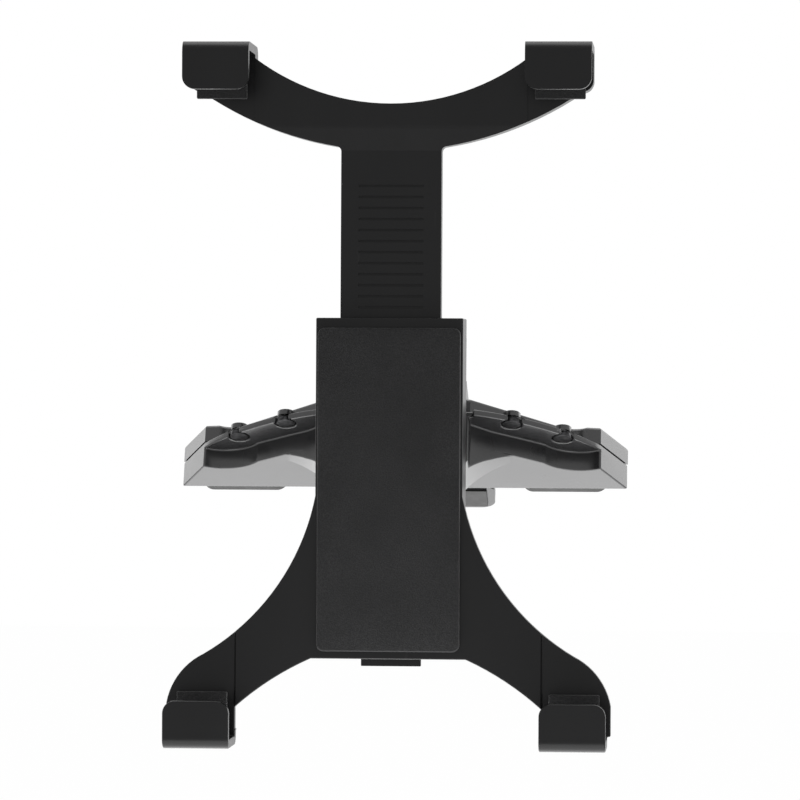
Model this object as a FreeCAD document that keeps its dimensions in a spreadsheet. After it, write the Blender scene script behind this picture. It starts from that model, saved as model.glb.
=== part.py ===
"""Tablet holder that plugs into a car's disc slot: winged slot mount, ball joint and sliding four-claw cradle.

Row frame: X to the right, Y away from the user, Z up, with the origin where the slot blade leaves the mount.
The cradle stands upright and faces -Y. The mount is tipped about X, as the ball joint allows.
"""

import FreeCAD
import Part
import math
import os

Vector = FreeCAD.Vector

SIZES = {
    "mount_tip": 25.0,
    "clearance": 0.3,
    "overcut": 1.0,
    "wing_rear_half": 60.2,
    "wing_front_half": 53.2,
    "seam": 0.2,
    "wing_tip_depth": 13.5,
    "wing_depth": 38.6,
    "wing_root_lap": 1.0,
    "keel_root_depth": 29.5,
    "keel_neck_run": 5.5,
    "keel_neck_depth": 25.0,
    "keel_lobe_inset": 22.7,
    "keel_lobe_depth": 21.6,
    "keel_dip_inset": 7.0,
    "keel_dip_depth": 12.3,
    "flare_foot_inset": 2.5,
    "flare_sag": 1.4,
    "wing_drop": 7.1,
    "flange_thick": 1.7,
    "cover_height": 4.9,
    "cover_root_depth": 31.3,
    "cover_dip_depth": 12.9,
    "cover_dip_half": 3.2,
    "cover_dip_rise": 1.0,
    "cover_round": 1.0,
    "boss_radius": 2.3,
    "boss_height": 1.4,
    "boss_web": 2.4,
    "hub_half": 19.0,
    "hub_front": 34.0,
    "hub_back": 17.5,
    "hub_drop": 17.0,
    "hub_rise": 8.9,
    "hub_top_inset": 1.0,
    "wall": 2.2,
    "screw_inner_inset": 23.2,
    "screw_outer_inset": 10.0,
    "screw_edge": 2.2,
    "screw_head_radius": 2.4,
    "screw_head_height": 1.1,
    "screw_shank_radius": 1.0,
    "screw_grip": 1.2,
    "counterbore_radius": 2.8,
    "counterbore_depth": 1.2,
    "ball_depth": 30.0,
    "ball_drop": 3.6,
    "ball_radius": 8.0,
    "ball_flat": 5.0,
    "cup_cone": 20.0,
    "stud_radius": 3.4,
    "stud_flange_radius": 11.0,
    "stud_flange_thick": 2.0,
    "ring_outer": 13.2,
    "ring_lip": 1.3,
    "ring_mouth": 8.8,
    "cup_mouth_depth": 5.0,
    "cup_slot": 1.2,
    "ring_grips": 12.0,
    "ring_grip_radius": 1.2,
    "thread_radius": 10.2,
    "thread_length": 3.0,
    "blade_half": 23.5,
    "blade_neck_half": 19.6,
    "blade_neck": 9.0,
    "blade_length": 25.0,
    "blade_corner": 4.0,
    "jaw_root": 6.0,
    "jaw_thick": 1.5,
    "jaw_gap": 0.4,
    "jaw_pad_thick": 0.6,
    "jaw_pad_margin": 2.0,
    "jaw_travel": 2.4,
    "wheel_depth": 9.0,
    "wheel_radius": 7.5,
    "wheel_thick": 3.4,
    "wheel_grips": 12.0,
    "wheel_grip_radius": 0.8,
    "lock_screw_radius": 2.2,
    "wing_pad_length": 23.0,
    "wing_pad_height": 6.0,
    "wing_pad_thick": 2.6,
    "wing_pad_inset": 16.9,
    "standoff": 17.5,
    "body_half": 19.0,
    "body_top": 29.0,
    "body_bottom": 58.9,
    "body_depth": 15.6,
    "plate_thick": 3.2,
    "cover_thick": 2.6,
    "foam_thick": 2.0,
    "foam_margin": 0.6,
    "foam_corner": 1.8,
    "foam_top_gap": 2.6,
    "foam_bottom_gap": 2.0,
    "stem_half": 13.0,
    "stem_thick": 5.0,
    "stem_tail": 57.0,
    "crossbar_mid_bottom": 72.2,
    "crossbar_mid_top": 84.3,
    "crossbar_end_top": 96.0,
    "crossbar_end_bottom": 87.3,
    "crossbar_corner": 3.0,
    "crossbar_step": 2.6,
    "crossbar_fold": 79.0,
    "stem_fillet": 1.3,
    "arm_crease": 0.3,
    "rack_half": 5.0,
    "rack_pitch": 3.0,
    "rack_gap": 1.4,
    "rack_depth": 0.7,
    "rack_count": 14.0,
    "rack_first": -26.0,
    "rib_count": 12.0,
    "rib_pitch": 2.85,
    "rib_half": 8.4,
    "rib_depth": 0.5,
    "rib_first": 31.5,
    "upper_claw_x": 43.7,
    "lower_claw_x": 48.0,
    "claw_width": 17.0,
    "upper_claw_end": 99.2,
    "lower_claw_end": 81.4,
    "claw_lip": 12.3,
    "claw_gap": 12.0,
    "claw_thick": 2.3,
    "claw_bend": 3.0,
    "claw_foam": 1.6,
    "claw_foam_show": 2.6,
    "claw_foam_margin": 0.6,
    "claw_lap": 1.0,
    "claw_corner": 3.2,
    "leg_end_outer": 57.4,
    "leg_end_inner": 39.6,
    "leg_start": 42.0,
    "leg_knee_x": 47.8,
    "leg_knee_rise": 1.0,
    "leg_tip_drop": 11.7,
    "leg_crotch_drop": 12.7,
    "leg_root_lap": 1.0,
    "leg_outer_sag": 5.4,
    "leg_tip_bulge": 1.9,
    "leg_inner_sag": 0.9,
    "release_half": 7.8,
    "release_show": 2.4,
    "release_top": 15.0,
    "release_pivot": 38.0,
    "release_thick": 1.6,
    "release_offset": 0.8,
    "release_barrel": 1.6,
    "release_pin_radius": 1.0,
    "release_ear": 2.0,
    "release_pin_gap": 2.2,
    "spring_thick": 0.4,
    "spring_half": 3.0,
    "spring_low": 5.0,
    "spring_bend": 10.0,
    "spring_high": 15.0,
    "cover_screw_grip": 6.0,
    "rib_height": 0.6,
    "pivot_radius": 4.5,
    "pivot_washer_radius": 7.5,
    "pivot_washer_thick": 1.2,
    "pivot_screw_radius": 1.5,
    "pivot_screw_length": 7.0,
    "cover_screw_x": 16.0,
    "cover_screw_z": 24.0,
    "cover_screw_low": 52.0,
}

doc = FreeCAD.newDocument("disc_slot_tablet_holder")
sheet = doc.addObject("Spreadsheet::Sheet", "Sizes")
for row, (alias, number) in enumerate(SIZES.items(), start=1):
    sheet.set(f"A{row}", alias)
    sheet.set(f"B{row}", str(number))
    sheet.setAlias(f"B{row}", alias)
doc.recompute()


def size(alias):
    """Return the number that the sheet holds under an alias."""
    return float(sheet.get(alias))


def placement(base, tip=0.0):
    """Return a placement at base, tipped about X by the given angle."""
    return FreeCAD.Placement(Vector(*base), FreeCAD.Rotation(Vector(1, 0, 0), -tip))


MOUNT_PLACE = placement((0, 0, 0), size("mount_tip"))
BALL_LOCAL = Vector(0, -size("ball_depth"), -size("ball_drop"))
BALL_CENTRE = MOUNT_PLACE.multVec(BALL_LOCAL)
CRADLE_PLACE = placement((BALL_CENTRE.x, BALL_CENTRE.y, BALL_CENTRE.z))

parts = []


def new_body(label, place):
    """Start a sub-part that is written under its label."""
    body = doc.addObject("PartDesign::Body", label)
    body.Label = label
    body.Placement = place
    body.AllowCompound = True
    parts.append(body)
    return body


def add_path(sketch, path):
    """Draw a closed path: a start point, then points, or (via, point) pairs for arcs."""
    here = path[0]
    for step in list(path[1:]) + [path[0]]:
        start = Vector(here[0], here[1], 0)
        if isinstance(step[0], tuple):
            via, here = step
            sketch.addGeometry(Part.Arc(start, Vector(*via, 0), Vector(*here, 0)))
        elif math.dist(here, step) > 1e-6:
            here = step
            sketch.addGeometry(Part.LineSegment(start, Vector(*here, 0)))


def add_circle(sketch, centre, radius):
    """Draw one circle."""
    sketch.addGeometry(Part.Circle(Vector(*centre, 0), Vector(0, 0, 1), radius))


def new_sketch(body, plane, shift=(0.0, 0.0, 0.0)):
    """Attach a sketch to one of the body's own origin planes, shifted in the plane's own axes."""
    sketch = body.newObject("Sketcher::SketchObject", body.Label + "_sketch")
    support = [feature for feature in body.Origin.OriginFeatures if feature.Role == plane + "_Plane"]
    sketch.AttachmentSupport = [(support[0], "")]
    sketch.MapMode = "FlatFace"
    sketch.AttachmentOffset = FreeCAD.Placement(Vector(*shift), FreeCAD.Rotation())
    return sketch


def pad(body, sketch, length, reverse=False, both_ways=False):
    """Raise a sketch into a solid, by a length given as an expression of the sheet's names."""
    feature = body.newObject("PartDesign::Pad", body.Label + "_raised")
    feature.Profile = sketch
    feature.setExpression("Length", length)
    feature.Reversed = reverse
    feature.Midplane = both_ways
    doc.recompute()
    return feature


def pocket(body, sketch, length, reverse=False, both_ways=False):
    """Cut a sketch out of the solid and make sure that something was cut."""
    before = body.Shape.Volume
    feature = body.newObject("PartDesign::Pocket", body.Label + "_pocket")
    feature.Profile = sketch
    feature.setExpression("Length", length)
    feature.Reversed = reverse
    feature.Midplane = both_ways
    doc.recompute()
    if body.Shape.Volume >= before:
        raise RuntimeError(f"{body.Label}: a pocket cut nothing")
    return feature


def turn(body, sketch, kind):
    """Turn a sketch about its own horizontal axis, to add (Revolution) or cut (Groove)."""
    feature = body.newObject("PartDesign::" + kind, body.Label + "_turn")
    feature.Profile = sketch
    feature.ReferenceAxis = (sketch, ["H_Axis"])
    feature.Angle = 360.0
    doc.recompute()
    return feature


def round_edges(body, radius, wanted):
    """Fillet the edges of the tip that the wanted test picks."""
    tip = body.Tip
    names = [f"Edge{n}" for n, edge in enumerate(tip.Shape.Edges, start=1) if wanted(edge)]
    feature = body.newObject("PartDesign::Fillet", body.Label + "_fillet")
    feature.Base = (tip, names)
    feature.setExpression("Radius", radius)
    doc.recompute()
    return feature


def mirrored_path(half):
    """Complete a path given from its middle to its right end by its mirror image on the left."""
    left = []
    points = [step[1] if isinstance(step[0], tuple) else step for step in half]
    for index in range(len(half) - 1, 0, -1):
        step = half[index]
        target = (-points[index - 1][0], points[index - 1][1])
        if isinstance(step[0], tuple):
            left.append(((-step[0][0], step[0][1]), target))
        else:
            left.append(target)
    first = (-points[-1][0], points[-1][1])
    return list(half) + [first] + left


def bowed(start, end, sag):
    """Return the (via, end) pair of an arc whose middle stands to the left of its chord by the given sag."""
    run = math.dist(start, end)
    across = (-(end[1] - start[1]) / run, (end[0] - start[0]) / run)
    middle = ((start[0] + end[0]) / 2, (start[1] + end[1]) / 2)
    return (middle[0] + sag * across[0], middle[1] + sag * across[1]), end


def wing_front(depth_cut):
    """Return the wing's front as an arc centre depth and radius, set back by the given cut."""
    half = size("wing_front_half")
    rise = size("wing_depth") - size("wing_tip_depth")
    radius = (half**2 + rise**2) / (2 * rise)
    return size("wing_depth") - radius, radius - depth_cut


def wing_depth_at(x, depth_cut=0.0):
    """Depth of the wing's front edge at x, set back by the given cut."""
    centre, radius = wing_front(depth_cut)
    return centre + math.sqrt(radius**2 - x**2)


def wing_outline():
    """Outline of the screw flange seen from above, in X and Y, with its straight back at Y 0."""
    inner = size("hub_half") + size("wing_root_lap")
    middle = (inner + size("wing_front_half")) / 2
    return mirrored_path(
        [
            (0.0, -size("hub_front")),
            (inner, -size("hub_front")),
            (inner, -wing_depth_at(inner)),
            ((middle, -wing_depth_at(middle)), (size("wing_front_half"), -size("wing_tip_depth"))),
            (size("wing_rear_half"), 0.0),
        ]
    )


def keel_points():
    """Front of the wings' lower wall: root beside the hub, neck, lobe, shoulder and dip."""
    tip = size("wing_front_half")
    root = (size("hub_half"), -size("keel_root_depth"))
    neck = (size("hub_half") + size("keel_neck_run"), -size("keel_neck_depth"))
    lobe = (tip - size("keel_lobe_inset"), -size("keel_lobe_depth"))
    dip = (tip - size("keel_dip_inset"), -size("keel_dip_depth"))
    shoulder = ((lobe[0] + dip[0]) / 2, (lobe[1] + dip[1]) / 2)
    return root, neck, lobe, shoulder, dip


def keel_outline():
    """Outline of the lower part of the wings, which runs in behind the screws."""
    root, neck, lobe, shoulder, dip = keel_points()
    return mirrored_path(
        [
            (0.0, root[1]),
            root,
            neck,
            (lobe, shoulder),
            (dip, (size("wing_front_half"), -size("wing_tip_depth"))),
            (size("wing_rear_half"), 0.0),
        ]
    )


def flare_outline():
    """Outline of the deeper block between the wings, which the flare is cut from."""
    root, neck, lobe, shoulder, dip = keel_points()
    back = -size("hub_back")
    return mirrored_path([(0.0, root[1]), root, neck, lobe, (lobe[0], back)])


def flare_cut(side):
    """Outline in X and Z of what is cut away under a wing, so that the hub flares out into it."""
    lobe_x = side * (size("wing_front_half") - size("keel_lobe_inset"))
    foot_x = side * (size("hub_half") - size("flare_foot_inset"))
    low = -size("hub_drop")
    wing = (lobe_x, -size("wing_drop"))
    foot = (foot_x, low)
    beyond = side * size("overcut")
    return [
        wing,
        bowed(wing, foot, -side * size("flare_sag")),
        (foot_x, low - size("overcut")),
        (lobe_x + beyond, low - size("overcut")),
        (lobe_x + beyond, -size("wing_drop")),
    ]


def cover_outline():
    """Outline of the top cover: straight from the hub to a dip, then out to the wing's tip."""
    tip = size("wing_front_half")
    dip_x = tip - size("keel_dip_inset")
    near = size("hub_half")
    dip_side = -size("cover_dip_depth") - size("cover_dip_rise")
    dip = (dip_x, -size("cover_dip_depth"))
    return mirrored_path(
        [
            (0.0, -size("cover_root_depth")),
            (near, -size("cover_root_depth")),
            (dip_x - size("cover_dip_half"), dip_side),
            (dip, (dip_x + size("cover_dip_half"), dip_side)),
            (tip, -size("wing_tip_depth")),
            (size("wing_rear_half"), 0.0),
        ]
    )


def screw_centre(side, inset):
    """Place of a shell screw: a set way in from the wing's tip and from its front edge."""
    x = size("wing_front_half") - inset
    return side * x, -wing_depth_at(x, size("screw_edge"))


SCREWS = [
    screw_centre(side, size(f"screw_{place}_inset"))
    for side in (-1, 1)
    for place in ("inner", "outer")
]


def cup_bore(body, margin):
    """Cut the round seat of the ball cup out of a hub half."""
    sketch = new_sketch(body, "YZ", (0.0, -size("ball_drop"), 0.0))
    back = -size("ball_depth") + size("ball_radius") + size("wall") + margin
    front = -size("hub_front") - size("wing_depth")
    reach = size("thread_radius") + margin
    add_path(sketch, [(back, 0.0), (back, reach), (front, reach), (front, 0.0)])
    turn(body, sketch, "Groove")


def slot_outline():
    """Outline of the space in the mount that holds the roots of the two jaws."""
    half = size("blade_neck_half") + size("clearance")
    back = -size("wheel_depth") - size("jaw_root") - size("clearance")
    front = size("overcut")
    return [(-half, front), (half, front), (half, back), (-half, back)]


def make_lower_shell():
    """Bottom moulding: screw flange, keel behind it, and the lower half of the hub."""
    body = new_body("lower_shell", MOUNT_PLACE)
    flange = new_sketch(body, "XY")
    add_path(flange, wing_outline())
    pad(body, flange, "Sizes.flange_thick", reverse=True)
    keel = new_sketch(body, "XY")
    add_path(keel, keel_outline())
    pad(body, keel, "Sizes.wing_drop", reverse=True)
    flare = new_sketch(body, "XY")
    add_path(flare, flare_outline())
    pad(body, flare, "Sizes.hub_drop", reverse=True)
    hub = new_sketch(body, "YZ")
    add_path(
        hub,
        [
            (-size("hub_front"), 0.0),
            (-size("hub_front"), -size("hub_drop")),
            (-size("hub_back") - size("wall"), -size("hub_drop")),
            (-size("hub_back"), -size("hub_drop") + size("wall")),
            (-size("hub_back"), 0.0),
        ],
    )
    pad(body, hub, "2 * Sizes.hub_half", both_ways=True)
    for side in (-1, 1):
        under = new_sketch(body, "XZ")
        add_path(under, flare_cut(side))
        pocket(body, under, "Sizes.wing_depth + Sizes.overcut", reverse=True)
    heads = new_sketch(body, "XY", (0.0, 0.0, -size("flange_thick")))
    for centre in SCREWS:
        add_circle(heads, centre, size("counterbore_radius"))
    pocket(body, heads, "Sizes.counterbore_depth", reverse=True)
    shanks = new_sketch(body, "XY")
    for centre in SCREWS:
        add_circle(shanks, centre, size("screw_shank_radius") + size("clearance"))
    pocket(body, shanks, "Sizes.flange_thick")
    slot = new_sketch(body, "XY")
    add_path(slot, slot_outline())
    pocket(body, slot, "Sizes.jaw_gap / 2 + Sizes.jaw_thick + Sizes.jaw_travel + Sizes.clearance")
    hole = new_sketch(body, "XY")
    add_circle(hole, (0.0, -size("wheel_depth")), size("lock_screw_radius") + size("clearance"))
    pocket(body, hole, "Sizes.wing_drop + Sizes.overcut")
    cup_bore(body, size("clearance"))


def make_top_cover():
    """Top moulding: the wings' upper skin and the upper half of the hub."""
    body = new_body("top_cover", MOUNT_PLACE)
    skin = new_sketch(body, "XY", (0.0, 0.0, size("seam")))
    add_path(skin, cover_outline())
    pad(body, skin, "Sizes.cover_height")
    top = size("seam") + size("cover_height")
    round_edges(body, "Sizes.cover_round", lambda edge: abs(edge.BoundBox.ZMin - top) < 1e-6)
    webs = new_sketch(body, "XY", (0.0, 0.0, size("seam")))
    half = size("boss_web") / 2
    inside = -size("cover_dip_depth")
    for x, y in SCREWS:
        add_path(webs, [(x - half, y), (x + half, y), (x + half, inside), (x - half, inside)])
    pad(body, webs, "Sizes.boss_height")
    bosses = new_sketch(body, "XY", (0.0, 0.0, size("seam")))
    for centre in SCREWS:
        add_circle(bosses, centre, size("boss_radius"))
    pad(body, bosses, "Sizes.boss_height")
    hub = new_sketch(body, "YZ")
    add_path(
        hub,
        [
            (-size("hub_front"), size("seam")),
            (-size("hub_front"), size("hub_rise")),
            (-size("hub_back") - size("wall"), size("hub_rise")),
            (-size("hub_back"), size("hub_rise") - size("wall")),
            (-size("hub_back"), size("seam")),
        ],
    )
    pad(body, hub, "2 * (Sizes.hub_half - Sizes.hub_top_inset)", both_ways=True)
    pilots = new_sketch(body, "XY", (0.0, 0.0, size("seam")))
    for centre in SCREWS:
        add_circle(pilots, centre, size("screw_shank_radius"))
    pocket(body, pilots, "Sizes.screw_grip", reverse=True)
    slot = new_sketch(body, "XY", (0.0, 0.0, size("seam")))
    add_path(slot, slot_outline())
    pocket(body, slot, "Sizes.jaw_gap / 2 + Sizes.jaw_thick - Sizes.seam", reverse=True)
    cup_bore(body, size("clearance"))


def make_shell_screws():
    """Four pan-head screws that come up through the flange."""
    body = new_body("shell_screws", MOUNT_PLACE)
    seat = size("flange_thick") - size("counterbore_depth")
    heads = new_sketch(body, "XY", (0.0, 0.0, -seat))
    for centre in SCREWS:
        add_circle(heads, centre, size("screw_head_radius"))
    pad(body, heads, "Sizes.screw_head_height", reverse=True)
    shanks = new_sketch(body, "XY", (0.0, 0.0, -seat))
    for centre in SCREWS:
        add_circle(shanks, centre, size("screw_shank_radius"))
    pad(body, shanks, "Sizes.flange_thick - Sizes.counterbore_depth + Sizes.seam + Sizes.screw_grip")


def make_ball_cup():
    """Slotted cup whose fingers close over the ball when the ring is screwed on."""
    body = new_body("ball_cup", MOUNT_PLACE)
    centre = -size("ball_depth")
    seat = size("ball_radius") + size("clearance")
    back = centre + size("ball_radius") + size("wall")
    front = -size("hub_front") - size("thread_length")
    outer = size("thread_radius")
    mouth = centre - size("cup_mouth_depth")
    slope = math.radians(size("cup_cone"))
    cone_radius = seat / math.cos(slope)
    mouth_radius = cone_radius - size("cup_mouth_depth") * math.tan(slope)
    flare = mouth_radius + mouth - front
    profile = new_sketch(body, "YZ", (0.0, -size("ball_drop"), 0.0))
    add_path(
        profile,
        [
            (back, 0.0),
            (back, outer),
            (front, outer),
            (front, flare),
            (mouth, mouth_radius),
            (centre, cone_radius),
            (centre + seat, cone_radius),
            (centre + seat, 0.0),
        ],
    )
    turn(body, profile, "Revolution")
    half = size("cup_slot") / 2
    reach = outer + size("overcut")
    for across, along in ((half, reach), (reach, half)):
        cut = new_sketch(body, "XZ", (0.0, -size("ball_drop"), -front))
        add_path(cut, [(-across, -along), (across, -along), (across, along), (-across, along)])
        pocket(body, cut, "Sizes.hub_front + Sizes.thread_length - Sizes.ball_depth")


def make_clamp_ring():
    """Knurled ring nut in front of the hub."""
    body = new_body("clamp_ring", MOUNT_PLACE)
    back = -size("hub_front") - size("clearance")
    step = -size("hub_front") - size("thread_length") - size("clearance")
    front = step - size("ring_lip")
    bore = size("thread_radius") + size("clearance")
    outer = size("ring_outer")
    mouth = size("ring_mouth")
    profile = new_sketch(body, "YZ", (0.0, -size("ball_drop"), 0.0))
    add_path(
        profile,
        [(back, bore), (back, outer), (front, outer), (front, mouth), (step, mouth), (step, bore)],
    )
    turn(body, profile, "Revolution")
    grips = new_sketch(body, "XZ", (0.0, -size("ball_drop"), -front))
    count = int(size("ring_grips"))
    for index in range(count):
        angle = 2 * math.pi * index / count
        add_circle(grips, (outer * math.cos(angle), outer * math.sin(angle)), size("ring_grip_radius"))
    pocket(body, grips, "Sizes.thread_length + Sizes.ring_lip + Sizes.overcut")


def jaw_outline():
    """Outline of a slot jaw seen from above: a neck, sloping shoulders and rounded corners."""
    root = -size("wheel_depth") - size("jaw_root")
    neck = size("blade_neck_half")
    half = size("blade_half")
    shoulder = size("blade_neck")
    end = size("blade_length")
    corner = size("blade_corner")
    bend = corner * (1 - math.sqrt(0.5))
    return mirrored_path(
        [
            (0.0, root),
            (neck, root),
            (neck, shoulder),
            (half, shoulder + half - neck),
            (half, end - corner),
            ((half - bend, end - bend), (half - corner, end)),
        ]
    )


def make_jaw(label, side):
    """One of the two flat jaws that spread inside the disc slot."""
    body = new_body(label, MOUNT_PLACE)
    plate = new_sketch(body, "XY", (0.0, 0.0, side * size("jaw_gap") / 2))
    add_path(plate, jaw_outline())
    if side < 0:
        add_circle(plate, (0.0, -size("wheel_depth")), size("lock_screw_radius") + size("clearance"))
    pad(body, plate, "Sizes.jaw_thick", reverse=side < 0)


def make_jaw_pad(label, side):
    """Thin rubber facing on the outside of a jaw."""
    body = new_body(label, MOUNT_PLACE)
    height = side * (size("jaw_gap") / 2 + size("jaw_thick"))
    half = size("blade_half") - size("jaw_pad_margin")
    start = size("blade_neck") + size("blade_half") - size("blade_neck_half")
    end = size("blade_length") - size("jaw_pad_margin")
    strip = new_sketch(body, "XY", (0.0, 0.0, height))
    add_path(strip, [(-half, start), (half, start), (half, end), (-half, end)])
    pad(body, strip, "Sizes.jaw_pad_thick", reverse=side < 0)


def make_lock_screw():
    """Thumb wheel under the mount, with the screw that spreads the jaws."""
    body = new_body("lock_wheel", MOUNT_PLACE)
    top = -size("wing_drop") - size("clearance")
    centre = (0.0, -size("wheel_depth"))
    wheel = new_sketch(body, "XY", (0.0, 0.0, top))
    add_circle(wheel, centre, size("wheel_radius"))
    pad(body, wheel, "Sizes.wheel_thick", reverse=True)
    grips = new_sketch(body, "XY", (0.0, 0.0, top))
    count = int(size("wheel_grips"))
    for index in range(count):
        angle = 2 * math.pi * index / count
        rim = (size("wheel_radius") * math.cos(angle), centre[1] + size("wheel_radius") * math.sin(angle))
        add_circle(grips, rim, size("wheel_grip_radius"))
    pocket(body, grips, "Sizes.wheel_thick")
    shank = new_sketch(body, "XY", (0.0, 0.0, top))
    add_circle(shank, centre, size("lock_screw_radius"))
    pad(body, shank, "Sizes.wing_drop")


def make_wing_pad(label, side):
    """Rubber foot on the back of a wing, which bears on the dashboard."""
    body = new_body(label, MOUNT_PLACE)
    middle = side * (size("wing_rear_half") - size("wing_pad_inset"))
    low = -size("wing_drop") + size("clearance")
    radius = size("wing_pad_height") / 2
    run = size("wing_pad_length") / 2 - radius
    foot = new_sketch(body, "XZ")
    add_path(
        foot,
        [
            (middle - run, low),
            (middle + run, low),
            ((middle + run + radius, low + radius), (middle + run, low + 2 * radius)),
            (middle - run, low + 2 * radius),
            ((middle - run - radius, low + radius), (middle - run, low)),
        ],
    )
    pad(body, foot, "Sizes.wing_pad_thick", reverse=True)


FRONT = -size("standoff") - size("body_depth")
BACK = -size("standoff")
PLATE_IN = FRONT + size("plate_thick")
STEM_FRONT = PLATE_IN + size("clearance")
STEM_BACK = STEM_FRONT + size("stem_thick")
COVER_IN = BACK - size("cover_thick")
LIP_IN = FRONT - size("foam_thick") - size("claw_gap")
BAR_FRONT = STEM_FRONT - size("crossbar_step")
BAR_SEAT = BAR_FRONT + size("arm_crease")
LEG_SEAT = FRONT + size("arm_crease")


def make_ball_stud():
    """Ball, neck and flange in one turned piece, with the pivot that goes through the rear cover."""
    body = new_body("ball_stud", CRADLE_PLACE)
    ball = size("ball_radius")
    flat = size("ball_flat")
    flat_radius = math.sqrt(ball**2 - flat**2)
    neck = size("stud_radius")
    flange = size("stud_flange_radius")
    foot = BACK + size("clearance") + size("stud_flange_thick")
    seat = BACK + size("clearance")
    end = COVER_IN - size("clearance")
    meet = -math.sqrt(ball**2 - neck**2)
    profile = new_sketch(body, "YZ")
    add_path(
        profile,
        [
            (flat, 0.0),
            (flat, flat_radius),
            ((0.0, ball), (meet, neck)),
            (foot, neck),
            (foot, flange),
            (seat, flange),
            (seat, size("pivot_radius")),
            (end, size("pivot_radius")),
            (end, 0.0),
        ],
    )
    turn(body, profile, "Revolution")
    hole = new_sketch(body, "XZ", (0.0, 0.0, -end))
    add_circle(hole, (0.0, 0.0), size("pivot_screw_radius"))
    pocket(body, hole, "Sizes.pivot_screw_length + Sizes.clearance")


def make_pivot_washer():
    """Washer that keeps the pivot in the rear cover."""
    body = new_body("pivot_washer", CRADLE_PLACE)
    sketch = new_sketch(body, "XZ", (0.0, 0.0, -COVER_IN + size("clearance")))
    add_circle(sketch, (0.0, 0.0), size("pivot_washer_radius"))
    add_circle(sketch, (0.0, 0.0), size("pivot_screw_radius"))
    pad(body, sketch, "Sizes.pivot_washer_thick")


def make_pivot_screw():
    """Screw that holds the washer to the pivot."""
    body = new_body("pivot_screw", CRADLE_PLACE)
    face = -COVER_IN + size("clearance") + size("pivot_washer_thick")
    head = new_sketch(body, "XZ", (0.0, 0.0, face))
    add_circle(head, (0.0, 0.0), 2 * size("pivot_screw_radius"))
    pad(body, head, "Sizes.pivot_washer_thick")
    shank = new_sketch(body, "XZ", (0.0, 0.0, face))
    add_circle(shank, (0.0, 0.0), size("pivot_screw_radius"))
    pad(body, shank, "Sizes.pivot_screw_length", reverse=True)


def leg_outline():
    """Outline of the cradle's front plate with its two lower legs."""
    half = size("body_half")
    low = size("body_bottom")
    outer = size("leg_end_outer")
    inner = size("leg_end_inner")
    foot = -size("lower_claw_end") + size("claw_bend")
    start = (half, -low + size("leg_start"))
    knee = (size("leg_knee_x"), -low + size("leg_knee_rise"))
    tip = (outer, -low - size("leg_tip_drop"))
    crotch = (inner, -low - size("leg_crotch_drop"))
    root = (half + size("leg_root_lap"), -low)
    return mirrored_path(
        [
            (0.0, size("body_top")),
            (half, size("body_top")),
            start,
            bowed(start, knee, -size("leg_outer_sag")),
            bowed(knee, tip, size("leg_tip_bulge")),
            (outer, foot),
            (inner, foot),
            crotch,
            bowed(crotch, root, -size("leg_inner_sag")),
        ]
    )


def claw_path(end, up, arm_front, arm_back):
    """Side profile of a claw in Y and Z: back of the arm, shelf at the end, and the lip in front."""
    thick = size("claw_thick")
    bend = size("claw_bend")
    back = arm_back
    lip_out = LIP_IN - thick
    inside = end - up * thick
    tip = end - up * size("claw_lip")
    side = up * bend
    cut = bend * (1 - math.sqrt(0.5))
    inner_bend = max(bend - thick, 0.2)
    inner_cut = inner_bend * (1 - math.sqrt(0.5))
    return [
        (back, end - side),
        ((back - cut, end - up * cut), (back - bend, end)),
        (lip_out + bend, end),
        ((lip_out + cut, end - up * cut), (lip_out, end - side)),
        (lip_out, tip),
        (LIP_IN, tip),
        (LIP_IN, inside - up * inner_bend),
        ((LIP_IN + inner_cut, inside - up * inner_cut), (LIP_IN + inner_bend, inside)),
        (arm_front, inside),
        (arm_front, end - side - up * size("claw_lap")),
        (back, end - side - up * size("claw_lap")),
    ]


def add_claws(body, middle, end, up, arm_front, arm_back):
    """Add a claw at each side of a cradle part."""
    for side in (-1, 1):
        sketch = new_sketch(body, "YZ", (0.0, 0.0, side * middle))
        add_path(sketch, claw_path(end, up, arm_front, arm_back))
        pad(body, sketch, "Sizes.claw_width", both_ways=True)
    tip = end - up * size("claw_lip")
    round_edges(body, "Sizes.claw_corner", lambda edge: is_lip_corner(edge, tip))


def is_lip_corner(edge, tip):
    """Tell whether an edge is a free corner of a claw's lip: it crosses the lip's thickness at its tip."""
    box = edge.BoundBox
    through = abs(box.YLength - size("claw_thick")) < 1e-6 and box.YMax < LIP_IN + 1e-6
    return through and abs(box.ZMin - tip) < 1e-6 and abs(box.ZMax - tip) < 1e-6


def cut_crease(body, front, inner, low, high):
    """Cut a shallow step into both arms, outside the line where they turn into their claws."""
    for side in (-1, 1):
        sketch = new_sketch(body, "XZ", (0.0, 0.0, -front))
        near = side * inner
        far = side * size("wing_rear_half")
        add_path(sketch, [(near, low), (far, low), (far, high), (near, high)])
        pocket(body, sketch, "Sizes.arm_crease")


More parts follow.
